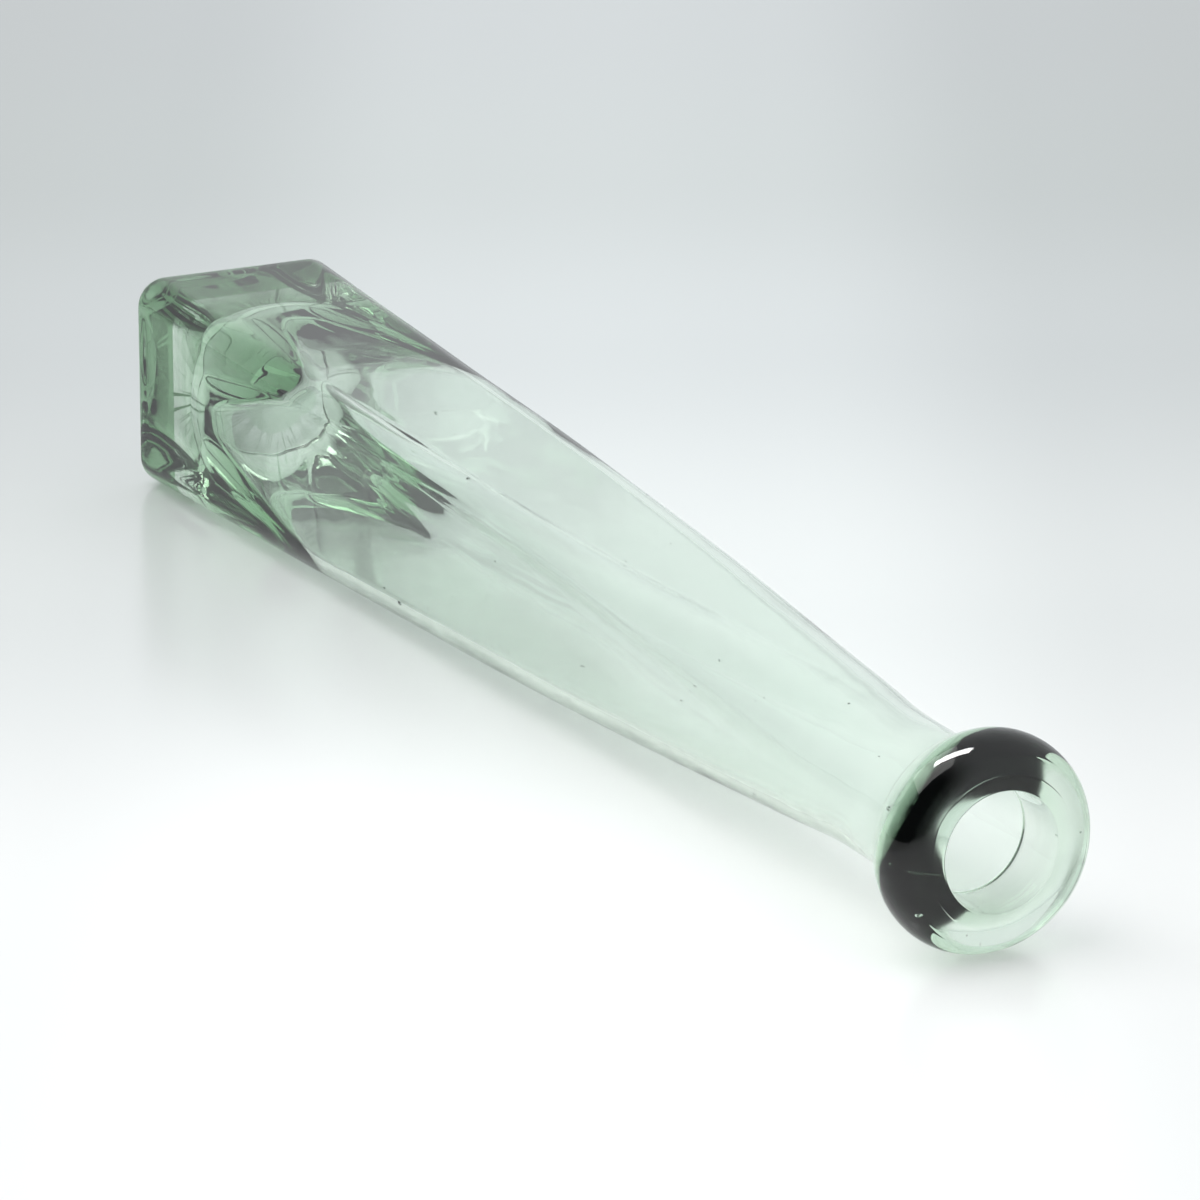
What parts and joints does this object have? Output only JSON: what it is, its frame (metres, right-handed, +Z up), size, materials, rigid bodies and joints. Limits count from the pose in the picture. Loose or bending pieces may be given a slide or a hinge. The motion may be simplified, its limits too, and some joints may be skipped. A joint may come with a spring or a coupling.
{
  "type": "glass bud vase",
  "caption": "Slim hand-made green glass bud vase: heavy square foot, tapering square body that turns round at the neck, and a fat rolled ring round the mouth.",
  "frame": {"origin": "centre of the foot's underside, on the surface the vase stands on", "axes": "+Z up the vase's axis, out of the mouth; X and Y square to the flat sides"},
  "size_m": [0.0334, 0.0334, 0.25],
  "materials": {
    "foot_glass": "clear green glass, thick and dark",
    "body_glass": "clear pale green recycled glass",
    "ring_glass": "clear green glass, fire-polished"
  },
  "bodies": {
    "root": {"foot": "foot_glass", "body": "body_glass", "lip_ring": "ring_glass"}
  },
  "joints": []
}
